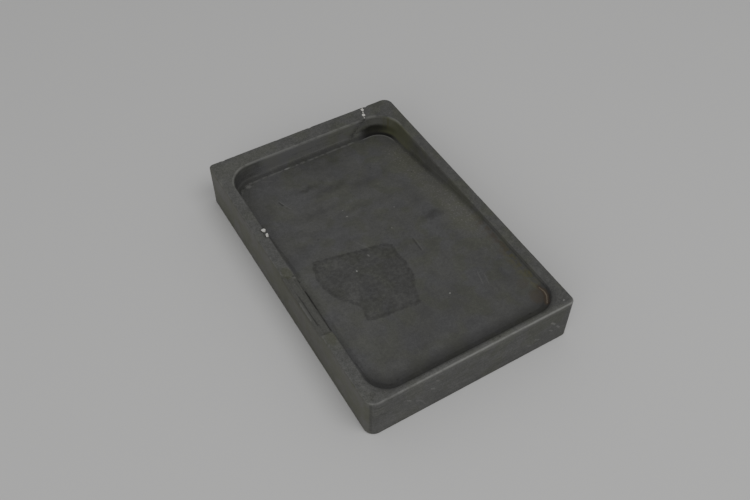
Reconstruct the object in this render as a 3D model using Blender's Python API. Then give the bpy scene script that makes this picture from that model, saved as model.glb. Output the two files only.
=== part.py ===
"""A rectangular slate inkstone with a mended crack, as separate closed solids, in metres.

The stone lies flat on z = 0 with its origin at the middle of its base. X runs across it, and Y runs
along it from the shallow end, where the ink stick is rubbed, to the deep pool that holds the ink.

stone_slab          the carved stone: rim, rubbing land, slope and pool, with its chips and its crack
crack_seam_filler   the white filler that runs in the crack across the far rim, with its squeezed-out beads
chip_plug_far       the white filler in the two little chips on the inner edge of the left rim
chip_plug_near
"""

import math

import bmesh
import bpy
from mathutils import Matrix, Vector

# ---- the stone's outside ----
LENGTH = 0.152
WIDTH = 0.100
HEIGHT = 0.0235
CORNER_RADII = {"near left": 0.0048, "near right": 0.0028, "far right": 0.0046, "far left": 0.0022}
TOP_EDGE_ROUND = 0.0008
BASE_EDGE_ROUND = 0.0007

# ---- the carved recess ----
RIM_LEFT = 0.0055
RIM_RIGHT = 0.0058
RIM_FAR = 0.0092
RIM_NEAR = 0.0035
RECESS_FAR_RADIUS = 0.0115
RECESS_NEAR_RADIUS = 0.0100
FOOT_ROUND = 0.0014
POOL_DEPTH = 0.0100
LAND_DEPTH = 0.0021
LAND_LENGTH = 0.048
POOL_LENGTH = 0.022
SLOPE_SHARPENING = 1.25
SLOPE_STEPS = 16

# ---- the repairs ----
REPAIR_GAP = 0.0003
SEAM_THICKNESS = 0.0005
SEAM_DEPTH = 0.0024
SEAM_BELOW_RIM = 0.0001
CRACK_TO_RIGHT_SIDE = 0.0172
CRACK_LEAN = 0.0032
BEAD_PLACES = (0.14, 0.36, 0.62, 0.80)
BEAD_RADII = (0.00055, 0.00045, 0.00070, 0.00050)
BEAD_PROUD = 0.00015
BEAD_STRETCH = 1.2
PLUG_FROM_FAR_END = {"chip_plug_far": 0.0505, "chip_plug_near": 0.0538}
PLUG_HALF_LENGTHS = {"chip_plug_far": 0.0011, "chip_plug_near": 0.0013}
PLUG_HALF_WIDTHS = {"chip_plug_far": 0.0010, "chip_plug_near": 0.0007}
PLUG_HALF_HEIGHT = 0.0008
PLUG_PROUD = 0.0001

# ---- the damage ----
NOTCH_WIDTH = 0.0024
NOTCH_DEPTH = 0.0013
NOTCH_HEIGHT = 0.0040
NOTCH_TO_RIGHT_OF_CRACK = 0.0006
SPALL_FROM_NEAR_END = 0.039
SPALL_LENGTH = 0.036
SPALL_DEPTH = 0.0011
SPALL_SLANT = 0.0040

# ---- curve detail ----
CORNER_STEPS = 6
EDGE_STEPS = 3
FOOT_STEPS = 3
BEAD_STEPS = 12
CUT_MARGIN = 0.003
SAME_PLACE = 1e-6
SHARP_ANGLE = math.radians(35)

LEFT = -WIDTH / 2
RIGHT = WIDTH / 2
NEAR = -LENGTH / 2
FAR = LENGTH / 2
RECESS_LEFT = LEFT + RIM_LEFT
RECESS_RIGHT = RIGHT - RIM_RIGHT
RECESS_NEAR = NEAR + RIM_NEAR
RECESS_FAR = FAR - RIM_FAR


# ---- small helpers ----

def clear_scene():
    for obj in list(bpy.data.objects):
        bpy.data.objects.remove(obj, do_unlink=True)


def make_material(name, colour, roughness, metallic=0.0):
    material = bpy.data.materials.new(name)
    material.use_nodes = True
    shader = material.node_tree.nodes["Principled BSDF"]
    shader.inputs["Base Color"].default_value = (*colour, 1.0)
    shader.inputs["Roughness"].default_value = roughness
    shader.inputs["Metallic"].default_value = metallic
    material.diffuse_color = (*colour, 1.0)
    return material


def slate_material():
    return make_material("slate", (0.070, 0.070, 0.066), 0.72)


def filler_material():
    return make_material("white_filler", (0.62, 0.61, 0.58), 0.80)


def finish_object(name, bm, material=None, is_cutter=False):
    bmesh.ops.recalc_face_normals(bm, faces=bm.faces)
    mesh = bpy.data.meshes.new(name)
    bm.to_mesh(mesh)
    bm.free()
    obj = bpy.data.objects.new(name, mesh)
    bpy.context.scene.collection.objects.link(obj)
    if material is not None:
        mesh.materials.append(material)
    if is_cutter:
        obj.hide_render = True
        obj.display_type = "WIRE"
    else:
        mesh.shade_smooth()
        mesh.set_sharp_from_angle(angle=SHARP_ANGLE)
    return obj


def box_mesh(x_low, x_high, y_low, y_high, z_low, z_high):
    bm = bmesh.new()
    bmesh.ops.create_cube(bm, size=1.0)
    size = Vector((x_high - x_low, y_high - y_low, z_high - z_low))
    centre = Vector((x_high + x_low, y_high + y_low, z_high + z_low)) / 2
    bmesh.ops.scale(bm, vec=size, verts=bm.verts)
    bmesh.ops.translate(bm, vec=centre, verts=bm.verts)
    return bm


def corner_edge(bm, corner):
    """The vertical edge at a corner, such as "near left", while the block still has only four."""
    y_side = 1 if "far" in corner else -1
    x_side = 1 if "right" in corner else -1
    for edge in bm.edges:
        first, second = (vertex.co for vertex in edge.verts)
        is_upright = (first.xy - second.xy).length < SAME_PLACE
        if is_upright and first.y * y_side > 0 and first.x * x_side > 0:
            return edge


def round_corners(bm, radii):
    """Rounds the four vertical edges, which are all picked before the first one is cut."""
    edges = {corner: corner_edge(bm, corner) for corner in radii}
    for corner, radius in radii.items():
        round_edges(bm, [edges[corner]], radius, CORNER_STEPS)


def level_edges(bm, height):
    """The edges that lie flat at one height."""
    found = []
    for edge in bm.edges:
        if all(abs(vertex.co.z - height) < SAME_PLACE for vertex in edge.verts):
            found.append(edge)
    return found


def round_edges(bm, edges, radius, steps):
    bmesh.ops.bevel(
        bm, geom=edges, offset=radius, offset_type="OFFSET", affect="EDGES",
        segments=steps, profile=0.5, material=-1, clamp_overlap=False,
    )


def ellipsoid_mesh(centre, half_sizes, steps=BEAD_STEPS):
    bm = bmesh.new()
    bmesh.ops.create_uvsphere(bm, u_segments=steps, v_segments=steps // 2, radius=1.0)
    bmesh.ops.scale(bm, vec=Vector(half_sizes), verts=bm.verts)
    bmesh.ops.translate(bm, vec=Vector(centre), verts=bm.verts)
    return bm


def boolean(target, tool, operation):
    modifier = target.modifiers.new(f"{operation.lower()} {tool.name}", "BOOLEAN")
    modifier.operation = operation
    modifier.solver = "EXACT"
    modifier.object = tool


# ---- the stone ----

def depth_below_rim(y):
    """How deep the floor lies at y: level on the land, an easy slope that steepens, then level in the pool."""
    slope_start = NEAR + LAND_LENGTH
    slope_end = FAR - POOL_LENGTH
    along = min(1.0, max(0.0, (y - slope_start) / (slope_end - slope_start)))
    along = along ** SLOPE_SHARPENING
    return LAND_DEPTH + (POOL_DEPTH - LAND_DEPTH) * along * along * (3 - 2 * along)


def slab_blank():
    bm = box_mesh(LEFT, RIGHT, NEAR, FAR, 0.0, HEIGHT)
    round_corners(bm, CORNER_RADII)
    round_edges(bm, level_edges(bm, HEIGHT), TOP_EDGE_ROUND, EDGE_STEPS)
    round_edges(bm, level_edges(bm, 0.0), BASE_EDGE_ROUND, EDGE_STEPS)
    return bm


def recess_cutter():
    """A tray-shaped block with a level bottom, cut across in strips whose bottoms are lowered to the slope."""
    flat_bottom = HEIGHT - LAND_DEPTH
    top = HEIGHT + CUT_MARGIN
    bm = box_mesh(RECESS_LEFT, RECESS_RIGHT, RECESS_NEAR, RECESS_FAR, flat_bottom, top)
    near_corners = dict.fromkeys(("near left", "near right"), RECESS_NEAR_RADIUS)
    far_corners = dict.fromkeys(("far left", "far right"), RECESS_FAR_RADIUS)
    round_corners(bm, near_corners | far_corners)
    round_edges(bm, level_edges(bm, flat_bottom), FOOT_ROUND, FOOT_STEPS)
    slope_start = NEAR + LAND_LENGTH
    slope_end = FAR - POOL_LENGTH
    for step in range(SLOPE_STEPS + 1):
        y = slope_start + (slope_end - slope_start) * step / SLOPE_STEPS
        geometry = bm.verts[:] + bm.edges[:] + bm.faces[:]
        bmesh.ops.bisect_plane(bm, geom=geometry, dist=SAME_PLACE, plane_co=(0, y, 0), plane_no=(0, 1, 0))
    for vertex in bm.verts:
        if vertex.co.z < top - CUT_MARGIN / 2:
            vertex.co.z -= depth_below_rim(vertex.co.y) - LAND_DEPTH
    bmesh.ops.triangulate(bm, faces=bm.faces)
    return finish_object("recess_cutter", bm, is_cutter=True)


def spall_cutter():
    """The flake that has split off the left rim: a thin wedge block with a slanting far end."""
    near_y = NEAR + SPALL_FROM_NEAR_END
    far_y = near_y + SPALL_LENGTH
    bottom = HEIGHT - SPALL_DEPTH
    bm = box_mesh(LEFT - CUT_MARGIN, RECESS_LEFT + CUT_MARGIN, near_y, far_y, bottom, HEIGHT + CUT_MARGIN)
    for vertex in bm.verts:
        if vertex.co.y > near_y + SPALL_LENGTH / 2:
            vertex.co.y -= SPALL_SLANT * (vertex.co.x - LEFT) / RIM_LEFT
    return finish_object("spall_cutter", bm, is_cutter=True)


# ---- the crack across the far rim ----

def crack_point(along, height):
    """A point on the crack's middle line, from 0 at the outer edge to 1 at the recess."""
    outer_x = RIGHT - CRACK_TO_RIGHT_SIDE + CRACK_LEAN / 2
    x = outer_x - CRACK_LEAN * along
    y = FAR - RIM_FAR * along
    return Vector((x, y, height))


def crack_length():
    return math.hypot(CRACK_LEAN, RIM_FAR)


def crack_slab_mesh(thickness, start, end, bottom, top):
    """An upright plate on the crack's line. start and end are shares of the rim's width."""
    length = crack_length() * (end - start)
    bm = box_mesh(-thickness / 2, thickness / 2, -length / 2, length / 2, bottom, top)
    turn = Matrix.Rotation(-math.atan2(CRACK_LEAN, RIM_FAR), 4, "Z")
    bmesh.ops.transform(bm, matrix=turn, verts=bm.verts)
    bmesh.ops.translate(bm, vec=crack_point((start + end) / 2, 0.0), verts=bm.verts)
    return bm


def bead_half_sizes(radius, extra=0.0):
    return (radius + extra, radius * BEAD_STRETCH + extra, radius + extra)


def bead_centre(place, radius):
    return crack_point(place, HEIGHT + BEAD_PROUD - radius)


def crack_cutters():
    """The slot that the seam fills and a wider pocket for each bead, all larger than the filler by the gap."""
    overrun = CUT_MARGIN / crack_length()
    thickness = SEAM_THICKNESS + 2 * REPAIR_GAP
    slot = crack_slab_mesh(
        thickness, -overrun, 1 + overrun,
        HEIGHT - SEAM_BELOW_RIM - SEAM_DEPTH - REPAIR_GAP, HEIGHT + CUT_MARGIN,
    )
    cutters = [finish_object("crack_slot_cutter", slot, is_cutter=True)]
    for number, (place, radius) in enumerate(zip(BEAD_PLACES, BEAD_RADII), start=1):
        pocket = ellipsoid_mesh(bead_centre(place, radius), bead_half_sizes(radius, REPAIR_GAP))
        cutters.append(finish_object(f"bead_pocket_cutter_{number}", pocket, is_cutter=True))
    return cutters


def seam_filler(material):
    end_gap = REPAIR_GAP / crack_length()
    notch_share = (NOTCH_DEPTH + REPAIR_GAP) / RIM_FAR
    top = HEIGHT - SEAM_BELOW_RIM
    seam = crack_slab_mesh(SEAM_THICKNESS, notch_share, 1 - end_gap, top - SEAM_DEPTH, top)
    obj = finish_object("crack_seam_filler", seam, material)
    for number, (place, radius) in enumerate(zip(BEAD_PLACES, BEAD_RADII), start=1):
        bead = ellipsoid_mesh(bead_centre(place, radius), bead_half_sizes(radius))
        boolean(obj, finish_object(f"bead_shape_{number}", bead, is_cutter=True), "UNION")
    return obj


def notch_cutter():
    """The V-shaped bite where the crack meets the outer edge, widest at the rim's top."""
    bm = bmesh.new()
    bmesh.ops.create_cone(
        bm, cap_ends=True, segments=4, radius1=0.0, radius2=1.0, depth=1.0,
    )
    bmesh.ops.scale(bm, vec=(NOTCH_WIDTH, NOTCH_DEPTH * 2, NOTCH_HEIGHT * 2), verts=bm.verts)
    mouth = crack_point(0.0, HEIGHT) + Vector((NOTCH_TO_RIGHT_OF_CRACK, 0.0, 0.0))
    bmesh.ops.translate(bm, vec=mouth, verts=bm.verts)
    return finish_object("notch_cutter", bm, is_cutter=True)


# ---- the filled chips on the left rim ----

def plug_centre(name):
    y = FAR - PLUG_FROM_FAR_END[name]
    x = RECESS_LEFT - PLUG_HALF_WIDTHS[name] / 2
    return (x, y, HEIGHT + PLUG_PROUD - PLUG_HALF_HEIGHT)


def plug_half_sizes(name, extra=0.0):
    return (PLUG_HALF_WIDTHS[name] + extra, PLUG_HALF_LENGTHS[name] + extra, PLUG_HALF_HEIGHT + extra)


def chip_cutters():
    cutters = []
    for name in PLUG_FROM_FAR_END:
        pocket = ellipsoid_mesh(plug_centre(name), plug_half_sizes(name, REPAIR_GAP))
        cutters.append(finish_object(f"{name}_pocket_cutter", pocket, is_cutter=True))
    return cutters


def chip_plugs(material):
    for name in PLUG_FROM_FAR_END:
        finish_object(name, ellipsoid_mesh(plug_centre(name), plug_half_sizes(name)), material)


# ---- assembly ----

def build():
    clear_scene()
    slate = slate_material()
    filler = filler_material()
    slab = finish_object("stone_slab", slab_blank(), slate)
    cutters = [recess_cutter(), spall_cutter(), notch_cutter()]
    cutters += crack_cutters()
    cutters += chip_cutters()
    for cutter in cutters:
        boolean(slab, cutter, "DIFFERENCE")
    seam_filler(filler)
    chip_plugs(filler)


build()
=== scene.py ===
# %% [markdown]
# # A slate inkstone, finished
# The imported model gives us the working shape: a slab of slate with a recess, and three bits of white
# filler. In this lesson that shape gets the surface of the real stone: soft hand-worked edges, a flake
# split off the rim, a mended crack, dried ink and years of handling. The imported model is loaded first
# and its box is kept.

import math

import bmesh
import bpy
import numpy as np
from mathutils import Matrix, Vector, noise


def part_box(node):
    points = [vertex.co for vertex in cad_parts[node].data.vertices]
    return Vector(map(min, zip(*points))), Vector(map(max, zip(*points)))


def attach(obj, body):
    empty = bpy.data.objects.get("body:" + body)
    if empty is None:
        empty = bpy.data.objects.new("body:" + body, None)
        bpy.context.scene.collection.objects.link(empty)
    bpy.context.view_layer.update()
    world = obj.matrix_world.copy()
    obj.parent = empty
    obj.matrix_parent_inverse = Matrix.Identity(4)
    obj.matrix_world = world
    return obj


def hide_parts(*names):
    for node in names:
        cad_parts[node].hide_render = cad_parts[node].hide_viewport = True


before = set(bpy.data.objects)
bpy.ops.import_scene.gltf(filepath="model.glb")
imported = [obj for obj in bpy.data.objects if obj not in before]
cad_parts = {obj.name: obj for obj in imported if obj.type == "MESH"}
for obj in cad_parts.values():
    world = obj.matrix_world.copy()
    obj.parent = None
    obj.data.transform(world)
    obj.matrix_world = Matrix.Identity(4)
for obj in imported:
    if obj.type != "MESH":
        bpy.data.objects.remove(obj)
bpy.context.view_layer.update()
print("packed nodes:", sorted(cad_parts))

# %% [markdown]
# ## The camera
# The stone is looked down on from its near left, at 50 degrees above the table. A camera is easiest to
# place by what it looks at: a target on the table, an azimuth, an elevation and a distance. The small
# roll is the tilt of a camera held by hand. The lens is a plain 40 mm one, so the far end of the stone
# looks a little smaller than the near end, as it does from arm's length.

# %% Camera
SENSOR_WIDTH = 36.0
NEAREST_SEEN = 0.01
FARTHEST_SEEN = 20.0
CAMERA_TARGET = Vector((0.0020, 0.0073, 0.0))
CAMERA_AZIMUTH = math.radians(-30.90)
CAMERA_ELEVATION = math.radians(49.79)
CAMERA_DISTANCE = 0.3963
CAMERA_ROLL = math.radians(0.35)
CAMERA_LENS = 40.23


def add_object(name, data):
    made = bpy.data.objects.new(name, data)
    bpy.context.scene.collection.objects.link(made)
    return made


def make_camera():
    level = math.cos(CAMERA_ELEVATION)
    away = Vector((
        math.sin(CAMERA_AZIMUTH) * level,
        -math.cos(CAMERA_AZIMUTH) * level,
        math.sin(CAMERA_ELEVATION),
    ))
    data = bpy.data.cameras.new("camera")
    data.lens = CAMERA_LENS
    data.sensor_width = SENSOR_WIDTH
    data.clip_start = NEAREST_SEEN
    data.clip_end = FARTHEST_SEEN
    camera = add_object("camera", data)
    upright = away.to_track_quat("Z", "Y").to_matrix().to_4x4()
    roll = Matrix.Rotation(CAMERA_ROLL, 4, "Z")
    camera.matrix_world = Matrix.Translation(CAMERA_TARGET + away * CAMERA_DISTANCE) @ upright @ roll
    bpy.context.scene.camera = camera
    return camera


camera = make_camera()
print("camera at, mm:", [round(value * 1000) for value in camera.matrix_world.translation])

# %% [markdown]
# ## The table and the light
# Dark stone shows its shape by very small differences, so the light has to be soft and come from nearly
# everywhere. A pale world does most of the work. One large lamp high at the near right adds the thin
# bright line on the near edge and the faint shadow on the far left side, and a larger, weaker one low
# at the near left opens up the walls that face the viewer. The table is one plain pale sheet, and it is
# no part of the stone.

# %% Table and light
TABLE_HALF_SIZE = 3.0
TABLE_DROP = 0.00005
TABLE_ROUGHNESS = 0.9
TABLE_SHINE = 0.1
TABLE_COLOUR = (0.67, 0.67, 0.665, 1.0)
WORLD_COLOUR = (1.0, 1.0, 0.995, 1.0)
WORLD_STRENGTH = 0.40
KEY_PLACE = Vector((0.20, -0.52, 1.00))
KEY_SIZE = 0.60
KEY_POWER = 3.1
FILL_PLACE = Vector((-0.90, -0.80, 0.70))
FILL_SIZE = 1.10
FILL_POWER = 4.6


def make_table():
    bm = bmesh.new()
    bmesh.ops.create_grid(bm, x_segments=1, y_segments=1, size=TABLE_HALF_SIZE)
    bmesh.ops.translate(bm, vec=(0.0, 0.0, -TABLE_DROP), verts=bm.verts)
    mesh = bpy.data.meshes.new("table")
    bm.to_mesh(mesh)
    bm.free()
    table = add_object("table", mesh)
    material = bpy.data.materials.new("pale table")
    material.use_nodes = True
    shader = material.node_tree.nodes["Principled BSDF"]
    shader.inputs["Base Color"].default_value = TABLE_COLOUR
    shader.inputs["Roughness"].default_value = TABLE_ROUGHNESS
    shader.inputs["Specular IOR Level"].default_value = TABLE_SHINE
    mesh.materials.append(material)


def make_world():
    world = bpy.data.worlds.new("soft room")
    world.use_nodes = True
    background = world.node_tree.nodes["Background"]
    background.inputs["Color"].default_value = WORLD_COLOUR
    background.inputs["Strength"].default_value = WORLD_STRENGTH
    bpy.context.scene.world = world


def make_lamp(name, place, size, power):
    data = bpy.data.lights.new(name, "AREA")
    data.shape = "DISK"
    data.size = size
    data.energy = power
    lamp = add_object(name, data)
    lamp.location = place
    lamp.rotation_euler = place.to_track_quat("Z", "Y").to_euler()


make_table()
make_world()
make_lamp("key lamp", KEY_PLACE, KEY_SIZE, KEY_POWER)
make_lamp("fill lamp", FILL_PLACE, FILL_SIZE, FILL_POWER)
print("key and fill lamps:", round(KEY_PLACE.length, 2), "and", round(FILL_PLACE.length, 2), "m away")

# %% [markdown]
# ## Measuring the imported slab
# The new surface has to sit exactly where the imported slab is, so its sizes are read from the slab's own
# box, and only the rim widths and radii are written here again. One function gives the depth of the
# floor at any y: level on the land, then a slope that steepens, then level again in the pool.

# %% Sizes of the stone
MM = 0.001
low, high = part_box("stone_slab")
LEFT, NEAR, BASE = low
RIGHT, FAR, TOP = high
CORNER_RADII = (4.8 * MM, 2.8 * MM, 4.6 * MM, 2.2 * MM)
RIM_LEFT = 5.5 * MM
RIM_RIGHT = 5.8 * MM
RIM_FAR = 9.2 * MM
RIM_NEAR = 3.5 * MM
RECESS_RADII = (10.0 * MM, 10.0 * MM, 11.5 * MM, 11.5 * MM)
LAND_DEPTH = 2.1 * MM
POOL_DEPTH = 10.0 * MM
SLOPE_START = NEAR + 48.0 * MM
SLOPE_END = FAR - 22.0 * MM
SLOPE_SHARPENING = 1.25
LEAST_RADIUS = 0.2 * MM


def smooth_share(value):
    """0 below 0, 1 above 1, and an easy curve between."""
    held = min(1.0, max(0.0, value))
    return held * held * (3.0 - 2.0 * held)


def depth_below_rim(y):
    along = min(1.0, max(0.0, (y - SLOPE_START) / (SLOPE_END - SLOPE_START)))
    return LAND_DEPTH + (POOL_DEPTH - LAND_DEPTH) * smooth_share(along ** SLOPE_SHARPENING)


print("slab in mm:", [round(value / MM, 1) for value in high - low])
print("floor depth in mm at the land, the slope and the pool:",
      [round(depth_below_rim(y * MM) / MM, 1) for y in (-50, 15, 60)])

# %% [markdown]
# ## One outline for every ring
# Seen from above, everything on this stone is a rectangle with round corners: the floor, the wall, the
# rim and the outside. If all of them are walked in the same number of steps, each one can be grown from
# the last by extruding its edges. An outline is walked side by side. Each side is half a corner, a
# straight run and half a corner again, and it gives a point for any whole step.

# %% Outlines
CORNER_STEPS = 12
ACROSS_STEPS = 100
ALONG_STEPS = 160
NX = ACROSS_STEPS + 2 * CORNER_STEPS
NY = ALONG_STEPS + 2 * CORNER_STEPS
RING_STEPS = 2 * (NX + NY)


class Outline:
    """A rectangle with round corners, walked anticlockwise from the middle of its near left corner."""

    def __init__(self, left, right, near, far, radii):
        self.left, self.right, self.near, self.far = left, right, near, far
        self.radii = radii

    def inset(self, distance):
        """The same outline moved inwards, or outwards when the distance is negative."""
        radii = tuple(max(LEAST_RADIUS, radius - distance) for radius in self.radii)
        return Outline(
            self.left + distance, self.right - distance, self.near + distance, self.far - distance, radii,
        )

    def corner(self, number):
        """The centre and the radius of a corner: near left, near right, far right, far left."""
        radius = self.radii[number]
        x = self.left + radius if number in (0, 3) else self.right - radius
        y = self.near + radius if number in (0, 1) else self.far - radius
        return Vector((x, y)), radius

    def arc(self, number, degrees):
        centre, radius = self.corner(number)
        turned = math.radians(degrees)
        return centre + radius * Vector((math.cos(turned), math.sin(turned)))

    def point(self, step):
        """The point at a step, counted round all four sides."""
        side = 0
        for count in (NX, NY, NX, NY):
            if step < count:
                break
            step -= count
            side = (side + 1) % 4
        straight = (NX, NY, NX, NY)[side] - 2 * CORNER_STEPS
        facing = 270.0 + 90.0 * side
        following = (side + 1) % 4
        if step <= CORNER_STEPS:
            return self.arc(side, facing - 45.0 + 45.0 * step / CORNER_STEPS)
        if step >= CORNER_STEPS + straight:
            return self.arc(following, facing + 45.0 * (step - CORNER_STEPS - straight) / CORNER_STEPS)
        share = (step - CORNER_STEPS) / straight
        return self.arc(side, facing).lerp(self.arc(following, facing), share)

    def distance(self, x, y):
        """How far inside the outline a point lies. It is negative outside."""
        right_half = x > (self.left + self.right) / 2
        far_half = y > (self.near + self.far) / 2
        radius = self.radii[{(0, 0): 0, (1, 0): 1, (1, 1): 2, (0, 1): 3}[(right_half, far_half)]]
        across = abs(x - (self.left + self.right) / 2) - (self.right - self.left) / 2 + radius
        along = abs(y - (self.near + self.far) / 2) - (self.far - self.near) / 2 + radius
        beyond = math.hypot(max(across, 0.0), max(along, 0.0)) + min(max(across, along), 0.0)
        return radius - beyond


OUTSIDE = Outline(LEFT, RIGHT, NEAR, FAR, CORNER_RADII)
RECESS = Outline(LEFT + RIM_LEFT, RIGHT - RIM_RIGHT, NEAR + RIM_NEAR, FAR - RIM_FAR, RECESS_RADII)
print("each ring has", RING_STEPS, "points, about",
      round((OUTSIDE.right - OUTSIDE.left) / ACROSS_STEPS / MM, 2), "mm apart")

# %% [markdown]
# ## The floor of the recess
# The floor could be one face cut up later, but a grid gives even little squares from the start, and
# those take carving marks well. The grid's border is laid on the foot of the wall, and each inner point
# is placed by mixing the four sides, which is called a Coons patch. Then each point drops to its depth.
# The real floor isn't flat across: rubbing has dished the land, and it sinks a little along its foot.

# %% Floor grid
POOL_FOOT_ROUND = 2.3 * MM
LAND_FOOT_ROUND = 1.2 * MM
NEAR_FOOT_REACH = 4.5 * MM
NEAR_FOOT_LENGTH = 12 * MM
DISH = 0.25 * MM
DISH_END = SLOPE_START + 30 * MM
DISH_FADE = 40 * MM
NEAR_SINK = 0.35 * MM
NEAR_SINK_LENGTH = 11.0 * MM
STATION = "station"


def foot_rise(y):
    """How high the hollow at the foot of the wall climbs: more in the pool than on the land."""
    share = (depth_below_rim(y) - LAND_DEPTH) / (POOL_DEPTH - LAND_DEPTH)
    return LAND_FOOT_ROUND + (POOL_FOOT_ROUND - LAND_FOOT_ROUND) * share


def foot_reach(y):
    """How far the hollow spreads over the floor: as far as it climbs, but further at the near end."""
    return foot_rise(y) + NEAR_FOOT_REACH * smooth_share(1.0 - (y - RECESS.near) / NEAR_FOOT_LENGTH)


def floor_height(x, y):
    middle = (RECESS.left + RECESS.right) / 2
    across = (x - middle) / (RECESS.right - middle)
    dish = DISH * (1.0 - across * across) * smooth_share((DISH_END - y) / DISH_FADE)
    sink = NEAR_SINK * smooth_share(1.0 - (y - RECESS.near) / NEAR_SINK_LENGTH)
    return TOP - depth_below_rim(y) - dish - sink


def foot_point(step):
    """Where the level floor ends, at one step of the ring."""
    wall = RECESS.point(step)
    return RECESS.inset(foot_reach(wall.y)).point(step)


FOOT = [foot_point(step) for step in range(RING_STEPS)]


def coons(column, row):
    """A point of the grid, mixed from the four sides of the foot."""
    u = column / NX
    v = row / NY
    near = FOOT[column]
    far = FOOT[2 * NX + NY - column]
    left = FOOT[-row]
    right = FOOT[NX + row]
    corners = (
        FOOT[0] * (1 - u) * (1 - v) + FOOT[NX] * u * (1 - v)
        + FOOT[NX + NY] * u * v + FOOT[2 * NX + NY] * (1 - u) * v
    )
    return near * (1 - v) + far * v + left * (1 - u) + right * u - corners


def border_step(column, row):
    """The ring's step at a border point of the grid."""
    if row == 0:
        return column
    if column == NX:
        return NX + row
    if row == NY:
        return 2 * NX + NY - column
    return (RING_STEPS - row) % RING_STEPS


def floor_grid():
    bm = bmesh.new()
    station = bm.verts.layers.int.new(STATION)
    bmesh.ops.create_grid(bm, x_segments=NX, y_segments=NY, size=0.5)
    for vertex in bm.verts:
        column = round((vertex.co.x + 0.5) * NX)
        row = round((vertex.co.y + 0.5) * NY)
        place = coons(column, row)
        vertex[station] = border_step(column, row)
        vertex.co = (place.x, place.y, floor_height(place.x, place.y))
    return bm


stone_bm = floor_grid()
print("floor grid:", len(stone_bm.faces), "squares")

# %% [markdown]
# ## Growing the wall, the rim and the outside
# The floor's border edges are extruded once for each ring, and the new points are moved to the next
# outline. Each point remembers its step in a layer that extruding copies, so it knows where to go. The
# rings are: a hollow at the foot, the wall, a soft inner edge, the rim, a rounded outer edge, the side,
# and a small round at the base. The base itself is one flat face, because the stone has to lie still.

# %% Rings
INNER_EDGE_ROUND = 0.7 * MM
NEAR_EDGE_ROUND = 1.6 * MM
NEAR_EDGE_LENGTH = 14 * MM
OUTER_EDGE_ROUND = 0.8 * MM
BASE_EDGE_ROUND = 0.7 * MM
FOOT_RINGS = 5
WALL_RINGS = 8
EDGE_RINGS = 4
RIM_RINGS = 8
SIDE_RINGS = 14


def grow_ring(bm, edges, place):
    """Extrudes a closed ring of edges and moves each new point to place(step)."""
    station = bm.verts.layers.int[STATION]
    grown = bmesh.ops.extrude_edge_only(bm, edges=edges)["geom"]
    verts = {item for item in grown if isinstance(item, bmesh.types.BMVert)}
    for vertex in verts:
        vertex.co = place(vertex[station])
    return [item for item in grown
            if isinstance(item, bmesh.types.BMEdge) and all(end in verts for end in item.verts)]


def inner_round(y):
    """The radius of the soft edge between the wall and the rim: rubbed rounder at the near end."""
    near_share = smooth_share(1.0 - (y - RECESS.near) / NEAR_EDGE_LENGTH)
    return INNER_EDGE_ROUND + (NEAR_EDGE_ROUND - INNER_EDGE_ROUND) * near_share


def foot_place(share):
    angle = share * math.pi / 2

    def place(step):
        wall = RECESS.point(step)
        point = RECESS.inset(foot_reach(wall.y) * (1 - math.sin(angle))).point(step)
        rise = foot_rise(wall.y) * (1 - math.cos(angle))
        return (point.x, point.y, floor_height(point.x, point.y) + rise)
    return place


def wall_place(share):
    def place(step):
        point = RECESS.point(step)
        bottom = floor_height(point.x, point.y) + foot_rise(point.y)
        top = max(bottom, TOP - inner_round(point.y))
        return (point.x, point.y, bottom + (top - bottom) * share)
    return place


def inner_edge_place(share):
    angle = share * math.pi / 2

    def place(step):
        wall = RECESS.point(step)
        radius = inner_round(wall.y)
        point = RECESS.inset(-radius * (1 - math.cos(angle))).point(step)
        wall_top = max(floor_height(wall.x, wall.y) + foot_rise(wall.y), TOP - radius)
        return (point.x, point.y, TOP - (TOP - wall_top) * (1 - math.sin(angle)))
    return place


def rim_place(share):
    outer = OUTSIDE.inset(OUTER_EDGE_ROUND)

    def place(step):
        inner = RECESS.inset(-inner_round(RECESS.point(step).y)).point(step)
        return (*inner.lerp(outer.point(step), share), TOP)
    return place


def outer_edge_place(share):
    angle = share * math.pi / 2
    outline = OUTSIDE.inset(OUTER_EDGE_ROUND * (1 - math.sin(angle)))
    height = TOP - OUTER_EDGE_ROUND * (1 - math.cos(angle))
    return lambda step: (*outline.point(step), height)


def side_place(share):
    height = TOP - OUTER_EDGE_ROUND + (BASE_EDGE_ROUND - TOP + OUTER_EDGE_ROUND) * share
    return lambda step: (*OUTSIDE.point(step), height)


def base_edge_place(share):
    angle = share * math.pi / 2
    outline = OUTSIDE.inset(BASE_EDGE_ROUND * (1 - math.cos(angle)))
    height = BASE_EDGE_ROUND * (1 - math.sin(angle))
    return lambda step: (*outline.point(step), height)


def grow_stone(bm):
    edges = [edge for edge in bm.edges if edge.is_boundary]
    stretches = [
        (foot_place, FOOT_RINGS), (wall_place, WALL_RINGS), (inner_edge_place, EDGE_RINGS),
        (rim_place, RIM_RINGS), (outer_edge_place, EDGE_RINGS), (side_place, SIDE_RINGS),
        (base_edge_place, EDGE_RINGS),
    ]
    for place, rings in stretches:
        for ring in range(1, rings + 1):
            edges = grow_ring(bm, edges, place(ring / rings))
    bmesh.ops.holes_fill(bm, edges=edges, sides=0)
    bmesh.ops.recalc_face_normals(bm, faces=bm.faces)


grow_stone(stone_bm)
print("stone so far:", len(stone_bm.faces), "faces, open edges:",
      sum(edge.is_boundary for edge in stone_bm.edges))

# %% [markdown]
# ## Finer squares where something happens
# A crack or a flake needs smaller squares than a plain rim does. Cutting the whole mesh finer would
# waste them, so only the edges inside a box are cut, and the new points lie on the old surface until
# they are moved.

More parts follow.
